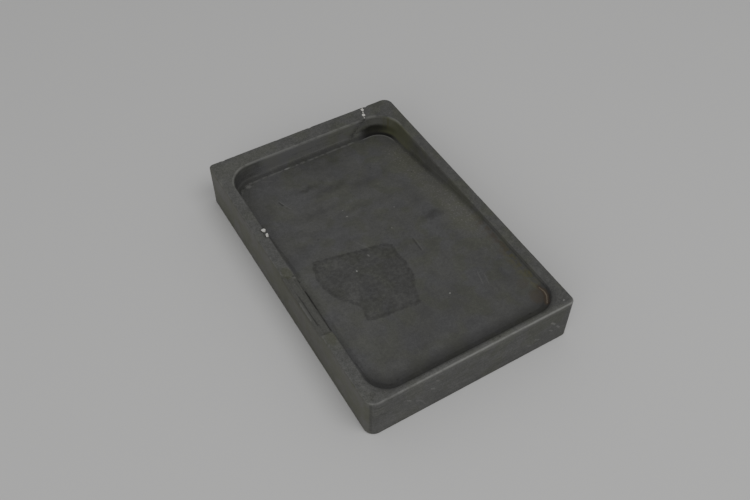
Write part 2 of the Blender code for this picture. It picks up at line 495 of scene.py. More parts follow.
# %% Cut a region finer
def in_box(point, a, b):
    return a[0] <= point.x <= b[0] and a[1] <= point.y <= b[1] and a[2] <= point.z <= b[2]


def points_in(bm, low_corner, high_corner):
    return [vertex for vertex in bm.verts if in_box(vertex.co, low_corner, high_corner)]


def cut_finer(bm, low_corner, high_corner, cuts):
    inside = set(points_in(bm, low_corner, high_corner))
    edges = {edge for vertex in inside for edge in vertex.link_edges
             if edge.other_vert(vertex) in inside}
    bmesh.ops.subdivide_edges(bm, edges=list(edges), cuts=cuts, use_grid_fill=True)


def rough(point, size, seed=0.0):
    """Smooth noise from -1 to 1, with bumps about as large as size."""
    return noise.noise(Vector(point) / size + Vector((seed, seed * 0.37, -seed * 0.61)))


# %% [markdown]
# ## The flake split off the left rim
# Slate is a stack of thin sheets, and a knock on an edge lifts one off. Here a strip of the left rim
# has gone. The break is a ledge about a millimetre down, with a ragged slanting step at its far end, a
# square one at its near end, and two or three sheets showing as little steps that run with the rim.
# How much each point was lowered is kept in a layer, because fresh breaks look rougher than rubbed stone.

# %% Split flake
FLAKE_NEAR_Y = NEAR + 38.6 * MM
FLAKE_LENGTH = 36.0 * MM
FLAKE_SLANT = 4.6 * MM
FLAKE_STEP_WIDTH = 0.45 * MM
SHEET_EDGES = (0.6 * MM, 1.7 * MM, 3.0 * MM, 4.5 * MM)
SHEET_DROPS = (-0.28 * MM, 0.30 * MM, -0.16 * MM, 0.34 * MM)
FLAKE_DROP = 0.95 * MM
FLAKE_MARGIN = 1.5 * MM
FLAKE_WANDER = 1.1 * MM
FLAKE_ROUGHNESS = 0.10 * MM
SHEET_WANDER = 0.9 * MM
SHEET_STEP_WIDTH = 0.35 * MM
FLAKE_REACH_DOWN = 1.9 * MM
FLAKE_FADE_END = 1.8 * MM
FLAKE_FADE = 1.6 * MM
FULLY_SPLIT_AT = 0.5 * MM
OUTER_STRIP = 2.4 * MM
OUTER_STRIP_PULL = 0.35
SPLIT = "split"


def flake_drop(point):
    """How far the surface of the rim is lowered at a point."""
    wander = rough((point.x, point.y, 0), 4 * MM, 3.0) * FLAKE_WANDER
    far_y = FLAKE_NEAR_Y + FLAKE_LENGTH - FLAKE_SLANT * (point.x - LEFT) / RIM_LEFT + wander
    near_y = FLAKE_NEAR_Y - 0.15 * (point.x - LEFT) + wander * 0.3
    inside = min(
        smooth_share((far_y - point.y) / FLAKE_STEP_WIDTH),
        smooth_share((point.y - near_y) / FLAKE_STEP_WIDTH),
    )
    if inside <= 0.0:
        return 0.0
    across = point.x - LEFT + rough((point.x * 0.3, point.y, 0), 9 * MM, 8.0) * SHEET_WANDER
    drop = FLAKE_DROP + rough(point, 2.5 * MM, 5.0) * FLAKE_ROUGHNESS
    for edge, step in zip(SHEET_EDGES, SHEET_DROPS):
        drop += step * smooth_share((across - edge) / SHEET_STEP_WIDTH)
    return drop * inside


def split_flake(bm):
    low_corner = (LEFT - MM, FLAKE_NEAR_Y - FLAKE_MARGIN, TOP - FLAKE_REACH_DOWN)
    high_corner = (RECESS.left + 0.4 * MM, FLAKE_NEAR_Y + FLAKE_LENGTH + FLAKE_MARGIN, TOP + MM)
    cut_finer(bm, low_corner, high_corner, 2)
    split = bm.verts.layers.float[SPLIT]
    for vertex in points_in(bm, low_corner, high_corner):
        drop = flake_drop(vertex.co) * smooth_share((vertex.co.z - TOP + FLAKE_FADE_END) / FLAKE_FADE)
        vertex[split] = min(1.0, drop / FULLY_SPLIT_AT)
        vertex.co.z -= drop
        if vertex.co.x < LEFT + OUTER_STRIP:
            vertex.co.x += drop * OUTER_STRIP_PULL * (LEFT + OUTER_STRIP - vertex.co.x) / OUTER_STRIP


stone_bm.verts.layers.float.new(SPLIT)
split_flake(stone_bm)
print("flake:", round(FLAKE_LENGTH / MM), "mm long and about", round(FLAKE_DROP / MM, 1), "mm deep")

# %% [markdown]
# ## The crack across the far rim
# The crack has to run at its own slant, whatever way the squares run. Slicing the faces along three
# upright planes, close together, puts a row of points exactly on the crack and one on each lip, and
# then the middle row is pushed down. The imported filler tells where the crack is. Past the inner edge
# the crack wanders down the wall of the pool, where the stone has crumbled a little round it.

# %% Slice along a crack
SAME_PLACE = 1e-7


def slice_along(bm, low_corner, high_corner, point, normal, offsets):
    """Cuts the faces in a box along parallel planes, and gives the points of each cut."""
    rows = []
    for offset in offsets:
        inside = set(points_in(bm, low_corner, high_corner))
        faces = {face for vertex in inside for face in vertex.link_faces
                 if all(corner in inside for corner in face.verts)}
        geometry = set(faces)
        for face in faces:
            geometry.update(face.edges)
            geometry.update(face.verts)
        cut = bmesh.ops.bisect_plane(
            bm, geom=list(geometry), dist=SAME_PLACE,
            plane_co=point + normal * offset, plane_no=normal,
        )["geom_cut"]
        rows.append([item for item in cut if isinstance(item, bmesh.types.BMVert)])
    return rows


# %% Crack
CRACK_HALF_WIDTH = 0.30 * MM
CRACK_DEPTH = 0.8 * MM
WALL_CRACK_RUN = 9.0 * MM
CRACK_WANDER = 0.25 * MM
WALL_CRACK_WANDER = 0.5 * MM
CRUMBLE = 0.45 * MM
CRUMBLE_WIDTH = 4.5 * MM
CRUMBLE_SPLIT = 0.7
NOTCH_HALF_WIDTH = 1.4 * MM
NOTCH_DEPTH = 1.3 * MM
NOTCH_HEIGHT = 3.5 * MM
CRACK_OFFSETS = (-CRACK_HALF_WIDTH, 0.0, CRACK_HALF_WIDTH)

seam_low, seam_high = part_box("crack_seam_filler")
seam_middle = (seam_low + seam_high) / 2
crack_lean = (seam_high.x - seam_low.x) / (seam_high.y - seam_low.y)
crack_inner_x = seam_middle.x - crack_lean * (seam_middle.y - RECESS.far)


def crack_x(y):
    """Where the crack lies on the rim, with its small wanderings."""
    return crack_inner_x + crack_lean * (y - RECESS.far) + CRACK_WANDER * rough((0, y, 0), 1.6 * MM, 2.0)


def crack_rim(bm):
    low_corner = (crack_inner_x - 3 * MM, RECESS.far - 0.5 * MM, TOP - 2.5 * MM)
    high_corner = (crack_inner_x + 9 * MM, FAR + MM, TOP + MM)
    cut_finer(bm, low_corner, high_corner, 1)
    along = Vector((crack_lean, 1.0, 0.0)).normalized()
    normal = Vector((along.y, -along.x, 0.0))
    point = Vector((crack_inner_x, RECESS.far, 0.0))
    rows = slice_along(bm, low_corner, high_corner, point, normal, CRACK_OFFSETS)
    for vertex in rows[0] + rows[1] + rows[2]:
        vertex.co.x += crack_x(vertex.co.y) - crack_inner_x - crack_lean * (vertex.co.y - RECESS.far)
    for vertex in rows[1]:
        vertex.co.z -= CRACK_DEPTH


def notch_far_edge(bm):
    """The little v that has broken out where the crack meets the outer edge."""
    middle = crack_x(FAR) + NOTCH_HALF_WIDTH
    low_corner = (middle - 2 * MM, FAR - 2 * MM, TOP - NOTCH_HEIGHT)
    high_corner = (middle + 2 * MM, FAR + MM, TOP + MM)
    for vertex in points_in(bm, low_corner, high_corner):
        near_middle = max(0.0, 1.0 - abs(vertex.co.x - middle) / NOTCH_HALF_WIDTH)
        near_top = max(0.0, 1.0 - (TOP - vertex.co.z) / NOTCH_HEIGHT)
        vertex.co.y = min(vertex.co.y, FAR - NOTCH_DEPTH * near_middle * near_top)


def crack_wall(bm):
    low_corner = (crack_inner_x - WALL_CRACK_RUN - 3 * MM, RECESS.far - 0.6 * MM, TOP - 10.5 * MM)
    high_corner = (crack_inner_x + 2 * MM, RECESS.far + 0.9 * MM, TOP - 0.1 * MM)
    cut_finer(bm, low_corner, high_corner, 1)
    fall = Vector((-WALL_CRACK_RUN, 0.0, -POOL_DEPTH)).normalized()
    normal = Vector((-fall.z, 0.0, fall.x))
    point = Vector((crack_inner_x, RECESS.far, TOP))
    rows = slice_along(bm, low_corner, high_corner, point, normal, CRACK_OFFSETS)
    for vertex in rows[0] + rows[1] + rows[2]:
        vertex.co.x += WALL_CRACK_WANDER * rough((0, 0, vertex.co.z), 2.4 * MM, 6.0)
    for vertex in rows[1]:
        vertex.co.y += CRACK_DEPTH * 0.7
    split = bm.verts.layers.float[SPLIT]
    for vertex in points_in(bm, low_corner, high_corner):
        crack_here = crack_inner_x - WALL_CRACK_RUN * (TOP - vertex.co.z) / POOL_DEPTH
        near_crack = smooth_share(1.0 - abs(vertex.co.x - crack_here) / CRUMBLE_WIDTH)
        vertex.co.y += CRUMBLE * near_crack * (0.4 + rough(vertex.co, 1.3 * MM, 4.0))
        vertex[split] = max(vertex[split], CRUMBLE_SPLIT * near_crack)


crack_rim(stone_bm)
notch_far_edge(stone_bm)
crack_wall(stone_bm)
print("crack from x", round(crack_x(FAR) / MM, 1), "at the far edge to", round(crack_x(RECESS.far) / MM, 1))

# %% [markdown]
# ## Chips and nicks
# A chip is a shallow scoop. To scoop, every point near a centre is pushed along one direction, most in
# the middle and not at all at the border. The two chips on the inner edge of the left rim hold filler
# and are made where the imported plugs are. The others are small nicks of years on a desk, scattered
# along the outer edges by a seeded draw, so that they come out the same each time.

# %% Chips
SCOOP_POWER = 1.2
SCOOP_RAGGEDNESS = 0.35
CHIP_MARGIN = (0.9 * MM, 0.7 * MM)
CHIP_HALF_DEPTH = 1.8 * MM
CHIP_CENTRE_DEPTH = 0.2 * MM
CHIP_REGION_BELOW = Vector((1.5, 1.5, 1.5)) * MM
CHIP_REGION_ABOVE = Vector((1.2, 1.5, 1)) * MM
CHIP_PUSH = Vector((-0.20, 0.0, -0.95)) * MM
NICK_SIZES = (0.5, 1.1)
NICK_FLATNESS = 0.8
NICK_DEPTH = 0.28
NICK_AIM = 2 * MM
NICK_MARGIN = 1.2
NICK_COUNT = 30
NICK_SEED = 11


def scoop(bm, centre, half_sizes, push):
    """Pushes the points inside an ellipsoid along a vector, most at its centre."""
    split = bm.verts.layers.float[SPLIT]
    reach = Vector(half_sizes)
    for vertex in points_in(bm, centre - reach, centre + reach):
        away = vertex.co - centre
        share = math.sqrt(sum((value / half) ** 2 for value, half in zip(away, half_sizes)))
        if share < 1.0:
            ragged = 1.0 + SCOOP_RAGGEDNESS * rough(vertex.co, 0.9 * MM, 9.0)
            vertex.co += push * ((1.0 - share * share) ** SCOOP_POWER * ragged)
            vertex[split] = max(vertex[split], 1.0 - share)


def chip_for_plug(bm, name):
    plug_low, plug_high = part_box(name)
    centre = (plug_low + plug_high) / 2
    centre.z = TOP - CHIP_CENTRE_DEPTH
    half = (plug_high - plug_low) / 2
    scoop(bm, centre, (half.x + CHIP_MARGIN[0], half.y + CHIP_MARGIN[1], CHIP_HALF_DEPTH), CHIP_PUSH)


def edge_place(draw):
    """A random point on the top outer edge, with the direction into the stone."""
    point = OUTSIDE.point(int(draw.integers(0, RING_STEPS)))
    beyond = OUTSIDE.inset(NICK_AIM)
    inward = Vector((
        min(max(point.x, beyond.left), beyond.right) - point.x,
        min(max(point.y, beyond.near), beyond.far) - point.y,
        -NICK_AIM,
    ))
    return Vector((point.x, point.y, TOP)), inward.normalized()


def nick_edges(bm):
    draw = np.random.default_rng(NICK_SEED)
    for _ in range(NICK_COUNT):
        centre, inward = edge_place(draw)
        size = float(draw.uniform(*NICK_SIZES)) * MM
        reach = Vector((size, size, size)) * NICK_MARGIN
        cut_finer(bm, centre - reach, centre + reach, 1)
        scoop(bm, centre, (size, size, size * NICK_FLATNESS), inward * size * NICK_DEPTH)


plug_names = ["chip_plug_far", "chip_plug_near"]
chip_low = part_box("chip_plug_near")[0] - CHIP_REGION_BELOW
chip_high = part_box("chip_plug_far")[1] + CHIP_REGION_ABOVE
cut_finer(stone_bm, chip_low, chip_high, 2)
for plug_name in plug_names:
    chip_for_plug(stone_bm, plug_name)
nick_edges(stone_bm)
print("chips for", plug_names, "and", NICK_COUNT, "nicks")

# %% [markdown]
# ## Made by hand
# Nothing on the stone is truly flat: it was sawn, chiselled and rubbed smooth. Each point is moved in a
# little along its own normal by two sizes of noise. It only ever moves inwards, so the stone never
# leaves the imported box, and the base is left flat so that it still stands.

# %% Hand-worked surface
WAVE_SIZE = 15 * MM
WAVE_DEPTH = 0.14 * MM
RIPPLE_SIZE = 2.6 * MM
RIPPLE_DEPTH = 0.035 * MM
KEPT_AT_BASE = 2 * MM


def work_by_hand(bm):
    bmesh.ops.recalc_face_normals(bm, faces=bm.faces)
    bm.normal_update()
    moves = []
    for vertex in bm.verts:
        wave = rough(vertex.co, WAVE_SIZE, 1.0) - 1.0
        ripple = rough(vertex.co, RIPPLE_SIZE, 7.0) - 1.0
        lift = smooth_share(vertex.co.z / KEPT_AT_BASE)
        moves.append(vertex.normal * lift * 0.5 * (WAVE_DEPTH * wave + RIPPLE_DEPTH * ripple))
    for vertex, move in zip(bm.verts, moves):
        vertex.co += move


work_by_hand(stone_bm)
triangles = sum(len(face.verts) - 2 for face in stone_bm.faces)
print("stone:", triangles, "triangles, open edges:", sum(edge.is_boundary for edge in stone_bm.edges))

# %% [markdown]
# ## Distances for the finish
# Dirt follows the stone's own shape: it lies a certain way in from the wall or the edge, and so do the
# painted shade at the foot of the walls and the painted highlight on the edges. So each point stores
# those distances, in millimetres, and the material reads them. A distance changes evenly from point to
# point, so a line drawn at a certain distance comes out sharp, even between the points. One of them is
# the distance to the border of the large stain on the land.

# %% Distance layers
FARTHEST_STORED = 8.0
STAIN_MIDDLE = (-17.0, -21.0)
STAIN_REACH = (29.0, 30.0)
STAIN_BORDER = (
    (-33.5, 0.6), (-25.8, -0.8), (-16.9, -2.9), (-6.9, -4.9), (-1.8, -5.9), (1.6, -8.8), (0.7, -14.6),
    (1.3, -21.0), (0.4, -28.2), (-3.2, -36.1), (-5.0, -42.9), (-14.9, -41.3), (-22.1, -41.3), (-29.5, -39.3),
    (-28.1, -31.9), (-32.5, -26.3), (-35.6, -21.4), (-37.3, -14.8), (-37.1, -9.0), (-35.5, -2.4),
)


def distance_to_line(point, start, end):
    along = end - start
    share = min(1.0, max(0.0, (point - start).dot(along) / along.length_squared))
    return (point - start - along * share).length


def inside_border(point, border):
    """Counts the sides to the right of a point: an odd number means that it is inside."""
    crossings = 0
    for a, b in zip(border, border[1:] + border[:1]):
        if (a.y > point.y) != (b.y > point.y):
            crossings += point.x < a.x + (b.x - a.x) * (point.y - a.y) / (b.y - a.y)
    return crossings % 2 == 1


def stain_distance(point, border):
    """The distance to the border in millimetres, positive inside and never past the farthest outside."""
    if any(abs(point[axis] - STAIN_MIDDLE[axis]) > STAIN_REACH[axis] for axis in (0, 1)):
        return -FARTHEST_STORED
    away = min(distance_to_line(point, a, b) for a, b in zip(border, border[1:] + border[:1]))
    return away if inside_border(point, border) else max(-FARTHEST_STORED, -away)


def store_distances(bm):
    border = [Vector(point) for point in STAIN_BORDER]
    names = ("from_wall", "from_outside", "in_stain")
    wall, outside, stain = [bm.verts.layers.float.new(name) for name in names]
    for vertex in bm.verts:
        x, y = vertex.co.x, vertex.co.y
        vertex[wall] = RECESS.distance(x, y) / MM
        vertex[outside] = OUTSIDE.distance(x, y) / MM
        vertex[stain] = stain_distance(Vector((x, y)) / MM, border)
    return names


print("layers stored:", store_distances(stone_bm))

# %% [markdown]
# ## Small helpers for node trees
# Writing a material in code is easier to read when one line makes one node. These helpers make a node,
# set its inputs by name and give back an output. A value handed in may be a number, a colour or the
# output of another node, and an output also tells which tree the new node belongs in.

# %% Node helpers
def is_output(value):
    return isinstance(value, bpy.types.NodeSocket)


def plug(socket, value):
    if is_output(value):
        socket.id_data.links.new(value, socket)
    else:
        socket.default_value = value


def node(kind, inputs, **settings):
    """Makes a node in the tree that its inputs come from, so at least one of them is an output."""
    tree = next(value.id_data for value in inputs.values() if is_output(value))
    made = tree.nodes.new(kind)
    for name, value in settings.items():
        setattr(made, name, value)
    for name, value in inputs.items():
        plug(made.inputs[name], value)
    return made


def maths(operation, a, b=0.0, c=0.0, clamp=False):
    inputs = {0: a, 1: b, 2: c}
    return node("ShaderNodeMath", inputs, operation=operation, use_clamp=clamp).outputs[0]


def line(value, slope, start, clamp=False):
    """A value times a slope, plus a start."""
    return maths("MULTIPLY_ADD", value, slope, start, clamp)


def vectors(operation, a, b=(0.0, 0.0, 0.0)):
    made = node("ShaderNodeVectorMath", {0: a, 1: b}, operation=operation)
    return made.outputs["Value" if operation in ("DOT_PRODUCT", "LENGTH") else "Vector"]


def scaled(vector, factor):
    inputs = {"Vector": vector, "Scale": factor}
    return node("ShaderNodeVectorMath", inputs, operation="SCALE").outputs["Vector"]


def shades(tone, colour):
    """A colour made darker or lighter by a tone: half as light at 0.5, half as light again at 1.5."""
    dark = tuple(0.5 * value for value in colour[:3]) + (1.0,)
    light = tuple(1.5 * value for value in colour[:3]) + (1.0,)
    return blend(maths("SUBTRACT", tone, 0.5, clamp=True), dark, light)


def ease(value, start, end, low=0.0, high=1.0):
    """Low up to start, high past end, and an easy curve between. Start may be the larger."""
    inputs = {"Value": value, "From Min": start, "From Max": end, "To Min": low, "To Max": high}
    return node("ShaderNodeMapRange", inputs, interpolation_type="SMOOTHSTEP").outputs["Result"]


def band(value, middle, half_width):
    """1 at the middle of a band, 0 outside it."""
    away = maths("ABSOLUTE", maths("SUBTRACT", value, middle))
    return ease(away, half_width, half_width * 0.35)


def times(*values):
    product = values[0]
    for value in values[1:]:
        product = maths("MULTIPLY", product, value)
    return product


def noise_of(place, size, detail=2.0, roughness=0.5):
    inputs = {"Vector": place, "Scale": 1.0 / size, "Detail": detail, "Roughness": roughness}
    return node("ShaderNodeTexNoise", inputs).outputs["Fac"]


def blend(share, under, over):
    """Lays a colour over another by a share."""
    return node("ShaderNodeMix", {0: share, 6: under, 7: over}, data_type="RGBA").outputs[2]


def shaken(place, size, amount):
    """A place pushed about by noise, so that what is drawn there gets a ragged border."""
    inputs = {"Vector": place, "Scale": 1.0 / size, "Detail": 3.0, "Roughness": 0.6}
    push = node("ShaderNodeTexNoise", inputs).outputs["Color"]
    centred = vectors("SUBTRACT", push, (0.5, 0.5, 0.5))
    return vectors("ADD", place, scaled(centred, amount))


def stored(tree, name):
    """What the mesh stores under a name."""
    made = tree.nodes.new("ShaderNodeAttribute")
    made.attribute_name = name
    return made.outputs["Fac"]


def place_in_mm(tree):
    """The place in millimetres, and the way that the surface faces."""
    coordinates = tree.nodes.new("ShaderNodeTexCoord").outputs
    return scaled(coordinates["Object"], 1.0 / MM), coordinates["Normal"]


def new_material(name, roughness, specular):
    material = bpy.data.materials.new(name)
    material.use_nodes = True
    tree = material.node_tree
    shader = tree.nodes["Principled BSDF"]
    shader.inputs["Roughness"].default_value = roughness
    shader.inputs["Specular IOR Level"].default_value = specular
    return material, tree, shader


def new_group(name, inputs, outputs):
    """An empty shader node group with its inputs and outputs, given as name and socket kind."""
    tree = bpy.data.node_groups.new(name, "ShaderNodeTree")
    for side, sockets in (("INPUT", inputs), ("OUTPUT", outputs)):
        for socket_name, kind in sockets:
            tree.interface.new_socket(name=socket_name, in_out=side, socket_type="NodeSocket" + kind)
    return tree, tree.nodes.new("NodeGroupInput").outputs, tree.nodes.new("NodeGroupOutput").inputs


def use_group(group, inputs):
    return node("ShaderNodeGroup", inputs, node_tree=group).outputs


print("node helpers ready")

# %% [markdown]
# ## Effects for the slate and the filler
# Both the stone and the filler are grainy, and the stone also carries spots and scratches. Each effect is
# a node group with its own inputs, built once. The grain gives a tone around 1 and a height. A spot is the
# inside of an ellipsoid, full up to its core and then fading, and a scratch is the space near a straight
# line. They are given a shaken place, so that their borders don't look drawn.

# %% Grain group
def make_grain_group():
    tree, given, result = new_group(
        "mineral grain",
        [("Place", "Vector"), ("Size", "Float"), ("Strength", "Float")],
        [("Tone", "Float"), ("Height", "Float")],
    )
    scale = maths("DIVIDE", 1.0, given["Size"])
    fine_inputs = {"Vector": given["Place"], "Scale": scale, "Detail": 3.0, "Roughness": 0.62}
    fine = node("ShaderNodeTexNoise", fine_inputs).outputs["Fac"]
    cell_inputs = {"Vector": given["Place"], "Scale": times(scale, 0.75)}
    cells = node("ShaderNodeTexVoronoi", cell_inputs)
    picks = node("ShaderNodeSeparateColor", {"Color": cells.outputs["Color"]}).outputs
    crystal = ease(cells.outputs["Distance"], 0.34, 0.16)
    crystal = times(crystal, ease(picks[0], 0.86, 0.93))
    pit_inputs = {"Vector": given["Place"], "Scale": times(scale, 0.33)}
    pits = node("ShaderNodeTexVoronoi", pit_inputs)
    picks = node("ShaderNodeSeparateColor", {"Color": pits.outputs["Color"]}).outputs
    pit = times(ease(picks[1], 0.72, 0.8), ease(pits.outputs["Distance"], 0.22, 0.08))
    lift = line(crystal, 0.45, times(pit, -0.45))
    swing = line(maths("SUBTRACT", fine, 0.5), 1.5, lift)
    plug(result["Tone"], line(swing, given["Strength"], 1.0))
    plug(result["Height"], maths("SUBTRACT", fine, times(pit, 0.8)))
    return tree


# %% Spot and scratch groups
def make_spot_group():
    inputs = [("Place", "Vector"), ("Centre", "Vector"), ("Half Sizes", "Vector"), ("Core", "Float")]
    tree, given, result = new_group("soft spot", inputs, [("Mask", "Float")])
    away = vectors("SUBTRACT", given["Place"], given["Centre"])
    reach = vectors("LENGTH", vectors("DIVIDE", away, given["Half Sizes"]))
    plug(result["Mask"], ease(reach, 1.15, given["Core"]))
    return tree


def make_scratch_group():
    inputs = [("Place", "Vector"), ("Start", "Vector"), ("End", "Vector"), ("Half Width", "Float")]
    tree, given, result = new_group("scratch", inputs, [("Mask", "Float")])
    along = vectors("SUBTRACT", given["End"], given["Start"])
    away = vectors("SUBTRACT", given["Place"], given["Start"])
    length = vectors("DOT_PRODUCT", along, along)
    share = maths("DIVIDE", vectors("DOT_PRODUCT", away, along), length, clamp=True)
    gap = vectors("LENGTH", vectors("SUBTRACT", away, scaled(along, share)))
    plug(result["Mask"], ease(maths("DIVIDE", gap, given["Half Width"]), 1.2, 0.4))
    return tree


GRAIN = make_grain_group()
SPOT = make_spot_group()
SCRATCH = make_scratch_group()
print("groups:", [group.name for group in (GRAIN, SPOT, SCRATCH)])


# %% Use the groups
def spots(place, rows, core=0.55):
    """Rows are (x, y, half x, half y, strength). Gives one mask, the strongest of them all."""
    most = 0.0
    for x, y, half_x, half_y, strength in rows:
        half_sizes = (half_x, half_y, 1.0)
        inputs = {"Place": place, "Centre": (x, y, 0.0), "Half Sizes": half_sizes, "Core": core}
        mask = times(use_group(SPOT, inputs)["Mask"], strength)
        most = maths("MAXIMUM", most, mask)
    return most


def scratches(place, rows):
    """Rows are (start, end, half width, strength). Gives one mask, the strongest of them all."""
    most = 0.0
    for start, end, half_width, strength in rows:
        inputs = {"Place": place, "Start": start, "End": end, "Half Width": half_width}
        mask = times(use_group(SCRATCH, inputs)["Mask"], strength)
        most = maths("MAXIMUM", most, mask)
    return most


def from_above(rows):
    """Scratches written as (x, y, x, y, half width, strength), at height 0."""
    return [((x, y, 0.0), (end_x, end_y, 0.0), *rest) for x, y, end_x, end_y, *rest in rows]


def on_near_side(rows):
    """Scratches written as (x, z, x, z, half width, strength), on the near side."""
    y = NEAR / MM
    return [((x, y, z), (end_x, y, end_z), *rest) for x, z, end_x, end_z, *rest in rows]


# %% [markdown]
# ## Where the marks are
# These are the marks that this one stone has, in millimetres, with some painted shade and highlight:
# lines along the flake and part of the black corner. Marks on the floor and the rim are written without
# a height, because they are looked up with the height taken away. Marks on the near side are written by
# x and height, and the few that lie on two sides have all three.

# %% Marks on the stone
SMUDGES = (
    (-13.0, 47.0, 9.0, 2.8, 0.55), (-3.0, 41.0, 13.0, 3.6, 0.42), (13.0, 36.0, 14.0, 6.0, 0.34),
    (27.0, -2.3, 8.0, 3.6, 0.66), (-18.0, 29.0, 13.0, 3.5, 0.28), (-2.0, 22.0, 9.0, 2.6, 0.22),
    (6.0, 57.0, 16.0, 3.0, 0.20), (34.0, -46.0, 3.2, 9.0, 0.30), (-34.0, 10.0, 4.0, 9.0, 0.22),
    (-39.0, -40.0, 3.0, 18.0, 0.16),
)
DARK_SPOTS = (
    (11.8, -74.3, 0.6, 0.35, 0.9), (-33.2, -69.3, 0.9, 0.5, 0.45), (-36.5, -69.9, 0.8, 0.4, 0.35),
    # The spot at x -45.6, y -4.6 is painted shade at the far step of the flake.
    (30.5, -70.2, 1.0, 0.4, 0.6), (-45.6, -4.6, 0.7, 0.5, 0.7), (21.0, 44.0, 0.5, 0.4, 0.6),
    (-25.0, 12.0, 0.6, 0.5, 0.5), (36.0, 30.0, 0.5, 0.7, 0.5), (-44.5, 25.5, 1.7, 1.3, 0.85),
    (-44.2, 22.2, 1.4, 1.7, 0.85),
)
DARK_SCRATCHES = (
    (10.8, -10.8, 10.4, -18.2, 0.38, 0.50), (-43.7, -55.0, -43.2, -64.5, 0.30, 0.35),
    # Painted shade on the flake: rows at x -44.4 to -44.8 (inner edge), x -48.3 (a sheet step), x -44.7 (far
    # step).
    (-28.2, 45.5, -27.6, 42.5, 0.5, 0.6), (-44.4, -13.5, -44.6, -24.0, 0.45, 0.9),
    (-44.6, -24.0, -44.8, -36.5, 0.35, 0.55), (-48.3, -15.2, -48.4, -32.0, 0.30, 0.7),
    (-44.7, -4.2, -43.9, -7.2, 0.30, 0.7), (-40.5, -66.5, -37.0, -70.3, 0.40, 0.30),
)
LIGHT_SPOTS = (
    (-6.4, 18.6, 0.50, 0.36, 0.40), (-20.0, -14.2, 0.40, 0.55, 0.50), (6.6, 0.3, 0.30, 0.30, 0.28),
    (8.0, -44.5, 0.36, 0.36, 0.55), (45.7, -72.9, 0.55, 0.45, 0.40), (-6.0, 23.5, 0.35, 0.3, 0.25),
    (-11.0, -9.0, 0.5, 0.9, 0.20), (15.0, 12.0, 0.35, 0.3, 0.25), (-36.0, 62.6, 1.6, 1.1, 0.20),
    (-14.6, 64.6, 1.6, 0.5, 0.20),
)
LIGHT_SCRATCHES = (
    (-27.8, 45.9, -27.2, 43.7, 0.30, 0.65), (-27.2, 43.7, -25.4, 38.4, 0.28, 0.55),
    (24.6, -41.0, 23.0, -47.2, 0.40, 0.35), (26.4, -43.5, 25.2, -48.5, 0.30, 0.30),
    (11.6, -10.6, 11.3, -18.2, 0.28, 0.30), (-12.0, 2.0, -8.5, -6.0, 0.30, 0.25),
    # The row at x -49.4 is a painted highlight on a sheet step of the flake.
    (-49.4, -18.0, -49.4, -28.0, 0.35, 0.55), (-31.6, 63.9, -24.6, 60.5, 0.35, 0.35),
)
NEAR_SCUFFS = (
    (38.6, 15.6, 40.6, 13.4, 0.60, 0.44), (42.4, 10.8, 43.8, 8.9, 0.56, 0.39),
    (38.6, 10.2, 40.2, 8.8, 0.48, 0.36), (31.2, 8.6, 33.4, 7.2, 0.48, 0.33),
    (27.4, 7.0, 29.0, 5.8, 0.44, 0.28), (-19.4, 18.2, -17.8, 16.8, 0.40, 0.33),
    (-21.6, 14.0, -19.8, 12.4, 0.44, 0.33), (-32.6, 14.4, -31.0, 12.8, 0.44, 0.39),
    (-28.5, 10.6, -25.5, 8.0, 0.32, 0.33), (-25.5, 8.0, -23.4, 3.7, 0.28, 0.25),
    (2.0, 16.4, 6.0, 15.8, 0.32, 0.19), (-6.0, 6.0, 0.0, 5.4, 0.28, 0.17),
    (14.0, 12.4, 19.0, 11.6, 0.28, 0.19),
)
SIDE_DARKS = (
    ((-47.9, -75.6, 20.4), (-44.0, -76.0, 19.8), 0.60, 0.45),
    ((-45.0, -76.0, 14.6), (-42.5, -76.0, 13.0), 0.60, 0.45),
    ((-48.4, -74.5, 22.0), (-48.4, -74.5, 3.0), 0.75, 0.45),
    ((-20.0, -76.0, 11.0), (10.0, -76.0, 10.2), 0.35, 0.30),
    ((8.0, -76.0, 5.2), (34.0, -76.0, 4.6), 0.35, 0.30),
)
# The black far right corner is dried ink with painted shade of the corner in it.
BLACK_CORNER_INK_AND_SHADE = (38.6, 64.0, 11.8, 8.6, 1.0)
CORNER_BLOTS = ((38.6, -64.6, 3.8, 4.2, 0.5), (37.5, -56.0, 3.0, 3.0, 0.25))
RIM_MOSS_SPOTS = ((-47.2, -1.6, 2.6, 3.6, 0.50), (-47.2, -40.5, 2.8, 4.2, 0.42))
ARC_BENDS = ((42.1, -61.2, 0.0), (42.7, -63.9, 0.0), (42.1, -66.5, 0.0), (39.9, -69.6, 0.0))
WALL_DRIPS = ((41.6, 62.2, 41.9, 61.8, 0.45, 0.7), (40.2, 63.8, 40.4, 63.6, 0.35, 0.4))
print("marks:", len(SMUDGES + DARK_SPOTS + LIGHT_SPOTS), "spots,",
      len(DARK_SCRATCHES + LIGHT_SCRATCHES + NEAR_SCUFFS + SIDE_DARKS), "scratches")

# %% [markdown]
# ## The slate
# The real finish was built up in a certain order, so the material is built up in the same order: first
# the stone with its clouds and grain, then the fresh breaks, then ink soaked into the land and dried in
# the corners, then the pale tide line that water left, then scratches, and last the edges that hands
# have rubbed. Painted light and shade come in along the way: tones lit and shaded by the way each part
# faces, shade in the hollows and the black corner, and highlights on the edges. Each step lays
# something over the colour so far.

